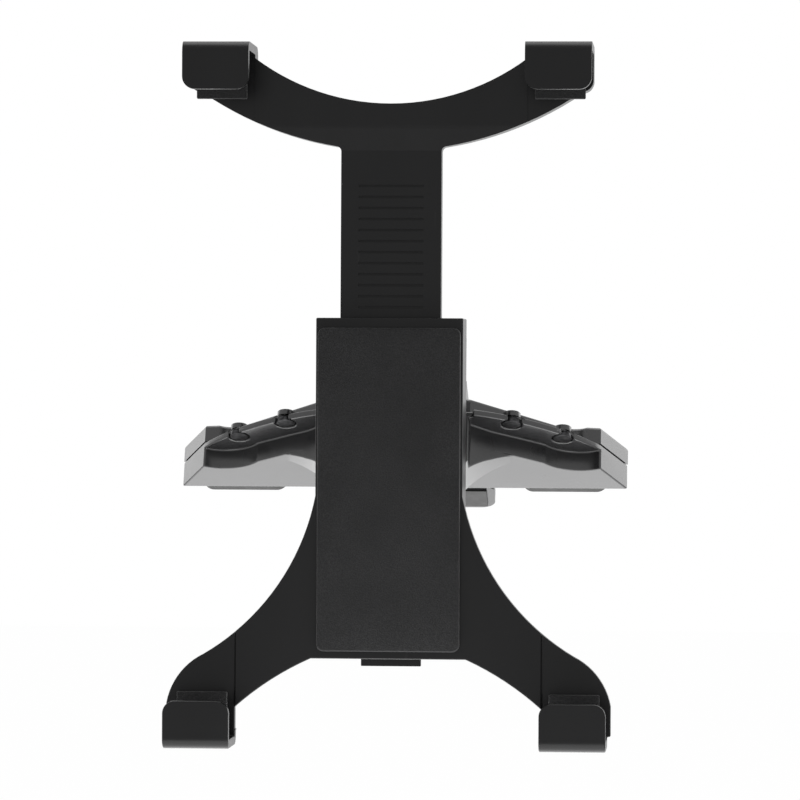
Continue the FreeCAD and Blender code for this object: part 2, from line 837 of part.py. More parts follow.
def make_cradle_plate():
    """Front plate, lower legs and lower claws in one moulding, with the rails that guide the stem."""
    body = new_body("cradle_plate", CRADLE_PLACE)
    plate = new_sketch(body, "XZ", (0.0, 0.0, -FRONT))
    add_path(plate, leg_outline())
    pad(body, plate, "Sizes.plate_thick", reverse=True)
    for side in (-1, 1):
        rail = new_sketch(body, "XZ", (0.0, 0.0, -PLATE_IN))
        near = side * (size("stem_half") + size("clearance"))
        far = side * size("body_half")
        top = size("body_top")
        low = -size("body_bottom")
        add_path(rail, [(near, top), (far, top), (far, low), (near, low)])
        pad(body, rail, "Sizes.body_depth - Sizes.plate_thick - Sizes.cover_thick", reverse=True)
    pilots = new_sketch(body, "XZ", (0.0, 0.0, -COVER_IN))
    for centre in COVER_SCREWS:
        add_circle(pilots, centre, size("screw_shank_radius"))
    pocket(body, pilots, "Sizes.cover_screw_grip + Sizes.clearance", reverse=True)
    foot = -size("lower_claw_end") + size("claw_bend")
    hip = -size("body_bottom") + size("leg_start")
    cut_crease(body, FRONT, size("leg_end_inner"), foot - size("overcut"), hip)
    add_claws(body, size("lower_claw_x"), -size("lower_claw_end"), -1, LEG_SEAT, PLATE_IN)


COVER_SCREWS = [
    (side * size("cover_screw_x"), height)
    for side in (-1, 1)
    for height in (size("cover_screw_z"), -size("cover_screw_low"))
]


def make_rear_cover():
    """Back plate of the body, with the pivot hole and the ears of the release pin."""
    body = new_body("rear_cover", CRADLE_PLACE)
    half = size("body_half")
    plate = new_sketch(body, "XZ", (0.0, 0.0, -BACK))
    top = size("body_top")
    low = -size("body_bottom")
    add_path(plate, [(-half, low), (half, low), (half, top), (-half, top)])
    add_circle(plate, (0.0, 0.0), size("pivot_radius") + size("clearance"))
    pad(body, plate, "Sizes.cover_thick")
    for side in (-1, 1):
        ear = new_sketch(body, "YZ", (0.0, 0.0, side * (size("release_half") + size("clearance"))))
        add_path(ear, ear_path())
        add_circle(ear, (RELEASE_Y, -size("release_pivot")), size("release_pin_radius"))
        pad(body, ear, "Sizes.release_ear", reverse=side < 0)
    holes = new_sketch(body, "XZ", (0.0, 0.0, -BACK))
    for centre in COVER_SCREWS:
        add_circle(holes, centre, size("screw_shank_radius"))
    pocket(body, holes, "Sizes.cover_thick", reverse=True)
    heads = new_sketch(body, "XZ", (0.0, 0.0, -BACK))
    for centre in COVER_SCREWS:
        add_circle(heads, centre, size("counterbore_radius"))
    pocket(body, heads, "Sizes.counterbore_depth", reverse=True)


RELEASE_Y = COVER_IN - size("release_pin_gap")


def ear_path():
    """Side profile of an ear that carries the release pin."""
    half = size("release_barrel")
    middle = -size("release_pivot")
    tip = RELEASE_Y - half
    return [(COVER_IN, middle - half), (COVER_IN, middle + half), (tip, middle + half), (tip, middle - half)]


def make_release_spring():
    """Leaf spring on the rear cover that pushes the lever's catch towards the stem."""
    body = new_body("release_spring", CRADLE_PLACE)
    pivot = -size("release_pivot")
    thick = size("spring_thick")
    lever_back = RELEASE_Y + size("release_thick") / 2
    touch = lever_back + size("clearance")
    leaf = new_sketch(body, "YZ")
    add_path(
        leaf,
        [
            (COVER_IN, pivot + size("spring_high")),
            (COVER_IN - thick, pivot + size("spring_high")),
            (COVER_IN - thick, pivot + size("spring_bend")),
            (touch, pivot + size("spring_low")),
            (touch + thick, pivot + size("spring_low")),
            (COVER_IN, pivot + size("spring_bend")),
        ],
    )
    pad(body, leaf, "2 * Sizes.spring_half", both_ways=True)


def make_release_pin():
    """Steel pin on which the release lever rocks."""
    body = new_body("release_pin", CRADLE_PLACE)
    sketch = new_sketch(body, "YZ")
    add_circle(sketch, (RELEASE_Y, -size("release_pivot")), size("release_pin_radius"))
    pad(body, sketch, "2 * (Sizes.release_half + Sizes.clearance + Sizes.release_ear)", both_ways=True)


def make_release_lever():
    """Rocking lever: catch at its top behind the stem, thumb tab under the body."""
    body = new_body("release_lever", CRADLE_PLACE)
    half = size("release_thick") / 2
    pivot = -size("release_pivot")
    top = -size("release_top")
    tab = -size("body_bottom") - size("release_show")
    catch = STEM_BACK + size("clearance")
    shift = size("release_offset")
    arms = new_sketch(body, "YZ")
    add_path(
        arms,
        [
            (RELEASE_Y - half, pivot),
            (RELEASE_Y - half, top - 2 * size("release_thick")),
            (catch, top - size("release_thick")),
            (catch, top),
            (RELEASE_Y + half, top),
            (RELEASE_Y + half, pivot),
            (RELEASE_Y + shift + half, pivot - size("release_barrel")),
            (RELEASE_Y + shift + half, tab),
            (RELEASE_Y + shift - half, tab),
            (RELEASE_Y + shift - half, pivot - size("release_barrel")),
        ],
    )
    pad(body, arms, "2 * Sizes.release_half", both_ways=True)
    barrel = new_sketch(body, "YZ")
    add_circle(barrel, (RELEASE_Y, pivot), size("release_barrel"))
    pad(body, barrel, "2 * Sizes.release_half", both_ways=True)
    bore = new_sketch(body, "YZ")
    add_circle(bore, (RELEASE_Y, pivot), size("release_pin_radius") + size("seam"))
    pocket(body, bore, "2 * (Sizes.release_half + Sizes.overcut)", both_ways=True)


def make_cover_screws():
    """Four screws that hold the rear cover to the rails."""
    body = new_body("cover_screws", CRADLE_PLACE)
    seat = BACK - size("counterbore_depth")
    heads = new_sketch(body, "XZ", (0.0, 0.0, -seat))
    for centre in COVER_SCREWS:
        add_circle(heads, centre, size("screw_head_radius"))
    pad(body, heads, "Sizes.screw_head_height", reverse=True)
    shanks = new_sketch(body, "XZ", (0.0, 0.0, -seat))
    for centre in COVER_SCREWS:
        add_circle(shanks, centre, size("screw_shank_radius"))
    pad(body, shanks, "Sizes.cover_thick - Sizes.counterbore_depth + Sizes.cover_screw_grip")


def make_front_pad():
    """Foam sheet stuck to the front of the body."""
    body = new_body("front_pad", CRADLE_PLACE)
    half = size("body_half") - size("foam_margin")
    top = size("body_top") - size("foam_top_gap")
    low = -size("body_bottom") + size("foam_bottom_gap")
    sheet_sketch = new_sketch(body, "XZ", (0.0, 0.0, -FRONT))
    add_path(sheet_sketch, [(-half, low), (half, low), (half, top), (-half, top)])
    pad(body, sheet_sketch, "Sizes.foam_thick")
    round_edges(body, "Sizes.foam_corner", lambda edge: edge.BoundBox.YLength > size("foam_thick") / 2)


def sagged(x, middle, end, half):
    """Height of a circular arc at x, which has one height in the middle and another at half."""
    rise = end - middle
    radius = (half**2 + rise**2) / (2 * rise)
    return middle + radius - math.sqrt(radius**2 - x**2)


def bar_outline():
    """Outline of the crescent crossbar, with the ends that carry the claws."""
    stem = size("stem_half")
    fillet = size("stem_fillet")
    claw_in = size("upper_claw_x") - size("claw_width") / 2
    claw_out = size("upper_claw_x") + size("claw_width") / 2
    shoulder = size("upper_claw_end") - size("claw_bend")
    corner = size("crossbar_corner")
    turn_in = corner * (1 - math.sqrt(0.5))
    low_x = claw_out - corner
    low = size("crossbar_end_bottom")

    root = stem + fillet

    def top(x):
        return sagged(x, size("crossbar_mid_top"), size("crossbar_end_top"), claw_in)

    def under(x):
        return sagged(x, size("crossbar_mid_bottom"), size("crossbar_end_bottom"), low_x)

    return mirrored_path(
        [
            (0.0, size("crossbar_mid_top")),
            ((claw_in / 2, top(claw_in / 2)), (claw_in, size("crossbar_end_top"))),
            (claw_in, shoulder),
            (claw_out, shoulder),
            (claw_out, low + corner),
            ((claw_out - turn_in, low + turn_in), (low_x, low)),
            (((low_x + root) / 2, under((low_x + root) / 2)), (root, under(root))),
            bowed((root, under(root)), (stem, under(root) - fillet), -fillet * (1 - math.sqrt(0.5))),
        ]
    )


def make_upper_arm():
    """Stem with its finger ribs, crossbar and upper claws in one moulding."""
    body = new_body("upper_arm", CRADLE_PLACE)
    stem = size("stem_half")
    fold = size("crossbar_fold")
    tail = size("body_top") - size("stem_tail")
    bar = new_sketch(body, "XZ", (0.0, 0.0, -BAR_FRONT))
    add_path(bar, bar_outline())
    pad(body, bar, "Sizes.stem_thick + Sizes.crossbar_step", reverse=True)
    slope = new_sketch(body, "YZ")
    low = size("crossbar_mid_bottom") - size("stem_fillet") - size("overcut")
    over = BAR_FRONT - size("overcut")
    foot = (STEM_FRONT, size("crossbar_mid_bottom"))
    add_path(slope, [(BAR_FRONT, fold), foot, (STEM_FRONT, low), (over, low), (over, fold)])
    pocket(body, slope, "2 * Sizes.wing_rear_half", both_ways=True)
    shank = new_sketch(body, "XZ", (0.0, 0.0, -STEM_FRONT))
    add_path(shank, [(-stem, tail), (stem, tail), (stem, fold), (-stem, fold)])
    pad(body, shank, "Sizes.stem_thick", reverse=True)
    inner = size("upper_claw_x") - size("claw_width") / 2
    cut_crease(body, BAR_FRONT, inner, fold, size("upper_claw_end"))
    add_claws(body, size("upper_claw_x"), size("upper_claw_end"), 1, BAR_SEAT, STEM_BACK)
    ribs = new_sketch(body, "XZ", (0.0, 0.0, -STEM_FRONT))
    half = size("rib_half")
    for index in range(int(size("rib_count"))):
        low = size("rib_first") + index * size("rib_pitch")
        high = low + size("rib_height")
        add_path(ribs, [(-half, low), (half, low), (half, high), (-half, high)])
    pocket(body, ribs, "Sizes.rib_depth")
    rack = new_sketch(body, "XZ", (0.0, 0.0, -STEM_BACK))
    half = size("rack_half")
    for index in range(int(size("rack_count"))):
        low = size("rack_first") + index * size("rack_pitch")
        high = low + size("rack_gap")
        add_path(rack, [(-half, low), (half, low), (half, high), (-half, high)])
    pocket(body, rack, "Sizes.rack_depth", reverse=True)


def make_claw_pad(label, middle, end, up, arm_front):
    """Foam lining of a claw: along the shelf and down the arm."""
    body = new_body(label, CRADLE_PLACE)
    thick = size("claw_foam")
    shelf = end - up * size("claw_thick")
    tip = end - up * (size("claw_lip") + size("claw_foam_show"))
    near = LIP_IN + size("claw_bend")
    sketch = new_sketch(body, "YZ", (0.0, 0.0, middle))
    add_path(
        sketch,
        [
            (near, shelf),
            (arm_front, shelf),
            (arm_front, tip),
            (arm_front - thick, tip),
            (arm_front - thick, shelf - up * thick),
            (near, shelf - up * thick),
        ],
    )
    pad(body, sketch, "Sizes.claw_width - 2 * Sizes.claw_foam_margin", both_ways=True)


def make_all():
    """Build every sub-part."""
    make_lower_shell()
    make_top_cover()
    make_shell_screws()
    make_ball_cup()
    make_clamp_ring()
    make_jaw("upper_jaw", 1)
    make_jaw("lower_jaw", -1)
    make_jaw_pad("upper_jaw_pad", 1)
    make_jaw_pad("lower_jaw_pad", -1)
    make_lock_screw()
    make_wing_pad("left_wing_pad", -1)
    make_wing_pad("right_wing_pad", 1)
    make_ball_stud()
    make_pivot_washer()
    make_pivot_screw()
    make_cradle_plate()
    make_rear_cover()
    make_cover_screws()
    make_release_spring()
    make_release_pin()
    make_release_lever()
    make_front_pad()
    make_upper_arm()
    for side, name in ((-1, "left"), (1, "right")):
        upper = side * size("upper_claw_x")
        lower = side * size("lower_claw_x")
        make_claw_pad(f"upper_{name}_claw_pad", upper, size("upper_claw_end"), 1, BAR_SEAT)
        make_claw_pad(f"lower_{name}_claw_pad", lower, -size("lower_claw_end"), -1, LEG_SEAT)


def check_all():
    """Stop if any object of the document failed or any sub-part is not a sound solid."""
    doc.recompute()
    for item in doc.Objects:
        if "Invalid" in item.State or "Error" in item.State:
            raise RuntimeError(f"{item.Label} failed: {item.State}")
    for body in parts:
        if body.Shape.isNull() or not body.Shape.isValid() or not body.Shape.Solids:
            raise RuntimeError(f"{body.Label} is not a sound solid")


def write_all():
    """Write each sub-part to its own file."""
    os.makedirs("parts", exist_ok=True)
    for body in parts:
        body.Shape.exportStep(f"parts/{body.Label}.step")


make_all()
check_all()
write_all()
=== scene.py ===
"""Looks of a black tablet holder that plugs into a car's disc slot, shown upright on white."""

import math

import bmesh
import bpy
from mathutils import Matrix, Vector


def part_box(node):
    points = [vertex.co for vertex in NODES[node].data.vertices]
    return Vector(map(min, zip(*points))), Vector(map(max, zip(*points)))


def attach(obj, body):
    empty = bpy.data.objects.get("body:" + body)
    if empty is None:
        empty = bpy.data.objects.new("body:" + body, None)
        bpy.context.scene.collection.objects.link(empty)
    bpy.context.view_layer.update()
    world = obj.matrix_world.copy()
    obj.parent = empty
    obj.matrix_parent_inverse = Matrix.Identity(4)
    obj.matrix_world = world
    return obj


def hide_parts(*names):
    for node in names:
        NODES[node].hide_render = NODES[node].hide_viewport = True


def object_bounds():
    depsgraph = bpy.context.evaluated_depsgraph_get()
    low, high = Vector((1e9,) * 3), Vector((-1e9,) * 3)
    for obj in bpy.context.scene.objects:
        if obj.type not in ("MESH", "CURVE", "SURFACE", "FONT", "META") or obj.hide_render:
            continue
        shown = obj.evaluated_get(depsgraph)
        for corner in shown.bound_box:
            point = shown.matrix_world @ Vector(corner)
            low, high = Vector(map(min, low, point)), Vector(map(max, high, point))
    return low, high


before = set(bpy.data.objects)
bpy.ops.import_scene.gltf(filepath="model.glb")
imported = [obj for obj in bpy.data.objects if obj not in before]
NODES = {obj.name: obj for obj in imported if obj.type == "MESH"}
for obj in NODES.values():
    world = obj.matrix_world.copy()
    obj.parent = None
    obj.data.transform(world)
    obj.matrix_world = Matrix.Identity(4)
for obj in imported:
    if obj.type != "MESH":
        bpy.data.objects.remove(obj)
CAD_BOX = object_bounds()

MM = 0.001
QUARTER_TURN = math.radians(90.0)

# Picture
CAMERA_AZIMUTH = math.radians(4.0)
CAMERA_ELEVATION = math.radians(0.0)
CAMERA_ROLL = math.radians(0.3)
CAMERA_DISTANCE = 1.2
CAMERA_SENSOR = 36.0
CAMERA_CLIP = 20.0
PICTURE_WIDTH = 205.6 * MM
AIM = Vector((2.95 * MM, -64.0 * MM, 17.3 * MM))

# Rounding of moulded edges
EDGE_CRADLE = 0.35 * MM
EDGE_MOUNT = 0.45 * MM
EDGE_SMALL = 0.2 * MM
EDGE_STEPS = 3
EDGE_ANGLE = math.radians(28.0)
WELD_DISTANCE = 0.002 * MM
FLAT_ANGLE = math.radians(0.4)

# Shape of the foam pieces
FOAM_CORNER = 1.8 * MM
FOAM_CORNER_STEPS = 6
FOAM_EDGE = 0.45 * MM
FOAM_EDGE_STEPS = 5
FOAM_CROWN = 0.12 * MM
FOAM_CROWN_SHARES = (0.9, 0.6, 0.25)
LINING_THICK = 1.6 * MM
LINING_INSET = 1.4 * MM
LINING_SHORT = 1.1 * MM
LINING_BEND = 1.1 * MM
LINING_BEND_STEPS = 5
LINING_EDGE = 0.3 * MM
LINING_STEPS = 10
LINING_WAVE = 0.07 * MM
LINING_WAVE_PER_STEP = 1.7
LINING_WAVE_PER_METRE = 900.0

# Moulded plastic. A scale is in waves per metre, and a range is the part of a texture's values that is used.
FLOW_SCALE = 55.0
FLOW_STRETCH = (1.0, 1.0, 0.35)
FLOW_RANGE = (0.3, 0.7)
FLOW_BUMP = 0.015
FLOW_HEIGHT = 0.2 * MM
GRAIN_SCALE = 5200.0
GRAIN_HEIGHT = 0.02 * MM
HAZE_SCALE = 420.0
HAZE_RANGE = (0.25, 0.75)
HAZE_SMOOTHER = 0.02
HAZE_ROUGHER = 0.03
SCUFF_SCALE = 900.0
SCUFF_STRETCH = (1.0, 1.0, 0.08)
SCUFF_CRESTS = (0.74, 0.77)
SCUFF_PATCH_SCALE = 70.0
SCUFF_PATCH_RANGE = (0.55, 0.7)
SCUFF_PALER = 3.2
SCUFF_TINT = 0.25
SCUFF_ROUGHER = 0.12

# Foam
CELL_SCALE = 2600.0
CELL_BUMP = 0.55
CELL_HEIGHT = 0.12 * MM
FUZZ_SCALE = 3400.0
FUZZ_COLOUR_RANGE = (0.38, 0.72)
FUZZ_ROUGH_RANGE = (0.3, 0.7)
FUZZ_BUMP = 0.5
FUZZ_HEIGHT = 0.1 * MM
CLOUD_SCALE = 60.0
CLOUD_RANGE = (0.35, 0.75)
CLOUD_TINT = (0.0, 0.5)
CLOUD_DARKER = 0.75
FOAM_ROUGHNESS = (0.82, 0.98)
FOAM_SPECULAR = 0.14
FOAM_SHEEN = 0.15
FOAM_SHEEN_ROUGHNESS = 0.6

# Rubber
BLOOM_SCALE = 260.0
BLOOM_COLOUR_RANGE = (0.35, 0.7)
BLOOM_ROUGH_RANGE = (0.3, 0.7)
SKIN_SCALE = 4200.0
SKIN_BUMP = 0.25
SKIN_HEIGHT = 0.03 * MM
RUBBER_ROUGHNESS = (0.55, 0.78)

# Screw steel
RUBBED_SCALE = 900.0
RUBBED_RANGE = (0.4, 0.65)
TURNED_SCALE = 1500.0
TURNED_STRETCH = (1.0, 1.0, 6.0)
TURNED_RANGE = (0.3, 0.7)
TURNED_BUMP = 0.15
TURNED_HEIGHT = 0.03 * MM
STEEL_ROUGHNESS = (0.28, 0.45)

# Studio. The room's light goes from dim on the camera's side to bright behind, with a bright ceiling.
FLOOR_DROP = 120.0 * MM
FLOOR_FRONT = 0.46
FLOOR_REACH = 3.0
FLOOR_WHITE = 0.98
FLOOR_GREY = 0.9
FLOOR_ROUGHNESS = 0.8
ROOM_DEPTH = (-0.6, 0.2)
ROOM_LIGHT = (0.24, 1.0)
CEILING_HEIGHT = (0.45, 0.9)
CEILING_LIGHT = (0.0, 0.5)
TABLE_LEVEL = -0.185
OBJECT_MIDDLE = (0.0, 0.0, 0.0)
# Name, place, target, size and power of each lamp. The last two lie just over the floor and shine up.
LAMPS = (
    ("left_softbox", (-0.75, 0.58, 0.13), OBJECT_MIDDLE, 0.6, 1.4),
    ("right_softbox", (0.75, 0.58, 0.13), OBJECT_MIDDLE, 0.6, 2.4),
    ("top_softbox", (0.0, 0.15, 0.9), OBJECT_MIDDLE, 0.7, 3.5),
    ("table_softbox", (0.0, 0.36, TABLE_LEVEL), (0.0, 0.36, 1.0), 0.6, 1.8),
    ("apron_softbox", (0.0, -0.1, TABLE_LEVEL), (0.0, -0.1, 1.0), 0.3, 0.75),
)

# Sockets of the colour mix, whose names repeat for each kind of data
MIX_FIRST_COLOUR = 6
MIX_SECOND_COLOUR = 7
MIX_RESULT_COLOUR = 2


# Node helpers

def new_material(name):
    """Start a node material and return it with its tree and its main shader."""
    material = bpy.data.materials.new(name)
    material.use_nodes = True
    tree = material.node_tree
    return material, tree, tree.nodes["Principled BSDF"]


def add_node(tree, kind, **values):
    """Add a node and set its input sockets by name, or its own properties."""
    node = tree.nodes.new(kind)
    for key, value in values.items():
        socket = key.replace("_", " ")
        if socket in node.inputs:
            node.inputs[socket].default_value = value
        else:
            setattr(node, key, value)
    return node


def place(tree, stretch=(1.0, 1.0, 1.0)):
    """Return object coordinates, stretched by a factor along each axis."""
    source = add_node(tree, "ShaderNodeTexCoord")
    mapping = add_node(tree, "ShaderNodeMapping", Scale=stretch)
    tree.links.new(source.outputs["Object"], mapping.inputs["Vector"])
    return mapping.outputs["Vector"]


def noise(tree, where, scale, detail, roughness=0.5):
    """Add a noise texture and return its value."""
    node = add_node(tree, "ShaderNodeTexNoise", Scale=scale, Detail=detail, Roughness=roughness)
    tree.links.new(where, node.inputs["Vector"])
    return node.outputs["Fac"]


def spread(tree, value, source, target=(0.0, 1.0)):
    """Map a value from one range to another, clamped."""
    low, high = source
    out_low, out_high = target
    node = add_node(
        tree, "ShaderNodeMapRange", From_Min=low, From_Max=high, To_Min=out_low, To_Max=out_high
    )
    tree.links.new(value, node.inputs["Value"])
    return node.outputs["Result"]


def blend_colours(tree, factor, first, second):
    """Mix two colours, each a fixed colour or another socket, by a factor socket."""
    node = add_node(tree, "ShaderNodeMix", data_type="RGBA")
    tree.links.new(factor, node.inputs["Factor"])
    for socket, colour in ((MIX_FIRST_COLOUR, first), (MIX_SECOND_COLOUR, second)):
        if isinstance(colour, bpy.types.NodeSocket):
            tree.links.new(colour, node.inputs[socket])
        else:
            node.inputs[socket].default_value = (*colour, 1.0)
    return node.outputs[MIX_RESULT_COLOUR]


def bump(tree, height, strength, distance, below=None):
    """Add a bump and return its normal, on top of another bump if one is given."""
    node = add_node(tree, "ShaderNodeBump", Strength=strength, Distance=distance)
    tree.links.new(height, node.inputs["Height"])
    if below is not None:
        tree.links.new(below, node.inputs["Normal"])
    return node.outputs["Normal"]


def combine(tree, operation, first, second):
    """Combine two values, each a number or a socket, by a named operation."""
    node = add_node(tree, "ShaderNodeMath", operation=operation)
    for socket, value in zip(node.inputs, (first, second)):
        if isinstance(value, bpy.types.NodeSocket):
            tree.links.new(value, socket)
        else:
            socket.default_value = value
    return node.outputs[0]


# Materials

def scuff_mask(tree):
    """Return thin stray lines in patches: the crests of a long stretched noise."""
    lines = noise(tree, place(tree, SCUFF_STRETCH), SCUFF_SCALE, detail=1.0)
    patches = noise(tree, place(tree), SCUFF_PATCH_SCALE, detail=1.0)
    line = spread(tree, lines, SCUFF_CRESTS)
    patch = spread(tree, patches, SCUFF_PATCH_RANGE)
    return combine(tree, "MULTIPLY", line, patch)


def moulded_plastic(name, dark, light, roughness, grain_bump, ior):
    """Black moulded plastic: fine spark-eroded grain, soft flow marks, a few hairline scuffs."""
    material, tree, shader = new_material(name)
    where = place(tree)
    flow = noise(tree, place(tree, FLOW_STRETCH), FLOW_SCALE, detail=4.0)
    grain = noise(tree, where, GRAIN_SCALE, detail=2.0)
    haze = noise(tree, where, HAZE_SCALE, detail=4.0, roughness=0.6)
    scuffs = scuff_mask(tree)
    colour = blend_colours(tree, spread(tree, flow, FLOW_RANGE), dark, light)
    worn = tuple(SCUFF_PALER * channel for channel in light)
    colour = blend_colours(tree, combine(tree, "MULTIPLY", scuffs, SCUFF_TINT), colour, worn)
    tree.links.new(colour, shader.inputs["Base Color"])
    hazy = spread(tree, haze, HAZE_RANGE, (roughness - HAZE_SMOOTHER, roughness + HAZE_ROUGHER))
    scuffed = combine(tree, "ADD", hazy, combine(tree, "MULTIPLY", scuffs, SCUFF_ROUGHER))
    tree.links.new(scuffed, shader.inputs["Roughness"])
    fine = bump(tree, grain, grain_bump, GRAIN_HEIGHT)
    tree.links.new(bump(tree, flow, FLOW_BUMP, FLOW_HEIGHT, fine), shader.inputs["Normal"])
    shader.inputs["IOR"].default_value = ior
    return material


def closed_cell_foam(name, dark, light):
    """Dark grey closed-cell foam: tiny pits and a fine pale speckle."""
    material, tree, shader = new_material(name)
    where = place(tree)
    cells = add_node(tree, "ShaderNodeTexVoronoi", Scale=CELL_SCALE)
    tree.links.new(where, cells.inputs["Vector"])
    fuzz = noise(tree, where, FUZZ_SCALE, detail=4.0, roughness=0.7)
    cloud = noise(tree, where, CLOUD_SCALE, detail=3.0)
    colour = blend_colours(tree, spread(tree, fuzz, FUZZ_COLOUR_RANGE), dark, light)
    dull = tuple(CLOUD_DARKER * channel for channel in dark)
    colour = blend_colours(tree, spread(tree, cloud, CLOUD_RANGE, CLOUD_TINT), colour, dull)
    tree.links.new(colour, shader.inputs["Base Color"])
    tree.links.new(spread(tree, fuzz, FUZZ_ROUGH_RANGE, FOAM_ROUGHNESS), shader.inputs["Roughness"])
    pits = bump(tree, cells.outputs["Distance"], CELL_BUMP, CELL_HEIGHT)
    tree.links.new(bump(tree, fuzz, FUZZ_BUMP, FUZZ_HEIGHT, pits), shader.inputs["Normal"])
    shader.inputs["Specular IOR Level"].default_value = FOAM_SPECULAR
    shader.inputs["Sheen Weight"].default_value = FOAM_SHEEN
    shader.inputs["Sheen Roughness"].default_value = FOAM_SHEEN_ROUGHNESS
    return material


def soft_rubber(name, dark, light):
    """Matte black rubber with a dusty bloom."""
    material, tree, shader = new_material(name)
    where = place(tree)
    bloom = noise(tree, where, BLOOM_SCALE, detail=5.0, roughness=0.65)
    skin = noise(tree, where, SKIN_SCALE, detail=2.0)
    colour = blend_colours(tree, spread(tree, bloom, BLOOM_COLOUR_RANGE), dark, light)
    tree.links.new(colour, shader.inputs["Base Color"])
    tree.links.new(spread(tree, bloom, BLOOM_ROUGH_RANGE, RUBBER_ROUGHNESS), shader.inputs["Roughness"])
    tree.links.new(bump(tree, skin, SKIN_BUMP, SKIN_HEIGHT), shader.inputs["Normal"])
    return material


def dark_steel(name, dark, light):
    """Black-plated screw steel with turned rings and rubbed spots."""
    material, tree, shader = new_material(name)
    rubbed = noise(tree, place(tree), RUBBED_SCALE, detail=4.0)
    turned = noise(tree, place(tree, TURNED_STRETCH), TURNED_SCALE, detail=2.0)
    colour = blend_colours(tree, spread(tree, rubbed, RUBBED_RANGE), dark, light)
    tree.links.new(colour, shader.inputs["Base Color"])
    tree.links.new(spread(tree, turned, TURNED_RANGE, STEEL_ROUGHNESS), shader.inputs["Roughness"])
    tree.links.new(bump(tree, turned, TURNED_BUMP, TURNED_HEIGHT), shader.inputs["Normal"])
    shader.inputs["Metallic"].default_value = 1.0
    return material


CRADLE_PLASTIC = moulded_plastic(
    "cradle_plastic",
    dark=(0.006, 0.006, 0.0063),
    light=(0.0085, 0.0085, 0.0088),
    roughness=0.3,
    grain_bump=0.08,
    ior=1.29,
)
MOUNT_PLASTIC = moulded_plastic(
    "mount_plastic",
    dark=(0.018, 0.018, 0.0188),
    light=(0.024, 0.024, 0.025),
    roughness=0.24,
    grain_bump=0.05,
    ior=1.62,
)
SMALL_PLASTIC = moulded_plastic(
    "fitting_plastic",
    dark=(0.014, 0.014, 0.015),
    light=(0.02, 0.02, 0.021),
    roughness=0.3,
    grain_bump=0.08,
    ior=1.5,
)
FOAM = closed_cell_foam("foam", dark=(0.016, 0.016, 0.0165), light=(0.043, 0.043, 0.044))
RUBBER = soft_rubber("rubber", dark=(0.014, 0.014, 0.014), light=(0.028, 0.028, 0.027))
STEEL = dark_steel("screw_steel", dark=(0.022, 0.022, 0.023), light=(0.06, 0.06, 0.062))

FINISH = {
    CRADLE_PLASTIC: ("cradle_plate", "rear_cover", "upper_arm", "release_lever"),
    MOUNT_PLASTIC: ("lower_shell", "top_cover"),
    SMALL_PLASTIC: ("ball_cup", "clamp_ring", "upper_jaw", "lower_jaw", "lock_wheel", "ball_stud"),
    RUBBER: ("upper_jaw_pad", "lower_jaw_pad", "left_wing_pad", "right_wing_pad"),
    STEEL: ("shell_screws", "pivot_washer", "pivot_screw", "cover_screws", "release_pin", "release_spring"),
}
EDGES = {
    "cradle_plate": EDGE_CRADLE,
    "rear_cover": EDGE_CRADLE,
    "upper_arm": EDGE_CRADLE,
    "lower_shell": EDGE_MOUNT,
}
# Mouldings whose triangles are joined into flat faces first, so that their edges take the full rounding
LARGE_MOULDINGS = ("cradle_plate", "lower_shell")


def round_off(piece, width, limited=True):
    """Round a piece's edges and even out its shading. The limit keeps small edges from crossing."""
    rounding = piece.modifiers.new("edges", "BEVEL")
    rounding.width = width
    rounding.segments = EDGE_STEPS
    rounding.limit_method = "ANGLE"
    rounding.angle_limit = EDGE_ANGLE
    rounding.harden_normals = False
    rounding.use_clamp_overlap = limited
    normals = piece.modifiers.new("normals", "WEIGHTED_NORMAL")
    normals.keep_sharp = False


def soften(piece, width):
    """Weld a node's split faces, round its edges and shade it smoothly."""
    weld = piece.modifiers.new("weld", "WELD")
    weld.merge_threshold = WELD_DISTANCE
    large = piece.name in LARGE_MOULDINGS
    if large:
        flats = piece.modifiers.new("flats", "DECIMATE")
        flats.decimate_type = "DISSOLVE"
        flats.angle_limit = FLAT_ANGLE
    round_off(piece, width, limited=not large)
    for polygon in piece.data.polygons:
        polygon.use_smooth = True


def dress(material, names):
    """Give CAD nodes a material and softened edges."""
    for name in names:
        piece = NODES[name]
        piece.data.materials.clear()
        piece.data.materials.append(material)
        soften(piece, EDGES.get(name, EDGE_SMALL))


for finish, names in FINISH.items():
    dress(finish, names)


# Foam pieces

def add_piece(name, mesh, material, body, node):
    """Turn a mesh into a foam piece that stands for a CAD node."""
    piece = bpy.data.objects.new(name, mesh)
    bpy.context.scene.collection.objects.link(piece)
    mesh.materials.append(material)
    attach(piece, body)
    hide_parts(node)
    return piece


def corner_ring(low, high, radius, depth):
    """Points of a rounded rectangle in X and Z at one depth."""
    ring = []
    corners = (
        (high[0] - radius, high[1] - radius),
        (low[0] + radius, high[1] - radius),
        (low[0] + radius, low[1] + radius),
        (high[0] - radius, low[1] + radius),
    )
    for quarter, (x, z) in enumerate(corners):
        for step in range(FOAM_CORNER_STEPS + 1):
            angle = QUARTER_TURN * (quarter + step / FOAM_CORNER_STEPS)
            ring.append(Vector((x + radius * math.cos(angle), depth, z + radius * math.sin(angle))))
    return ring


def bridge(mesh, rings):
    """Skin closed rings of equal length one after another, and close both ends."""
    loops = [[mesh.verts.new(point) for point in ring] for ring in rings]
    count = len(loops[0])
    for first, second in zip(loops, loops[1:]):
        for index in range(count):
            after = (index + 1) % count
            mesh.faces.new((first[index], first[after], second[after], second[index]))
    mesh.faces.new(list(reversed(loops[0])))
    mesh.faces.new(loops[-1])
    bmesh.ops.recalc_face_normals(mesh, faces=mesh.faces)


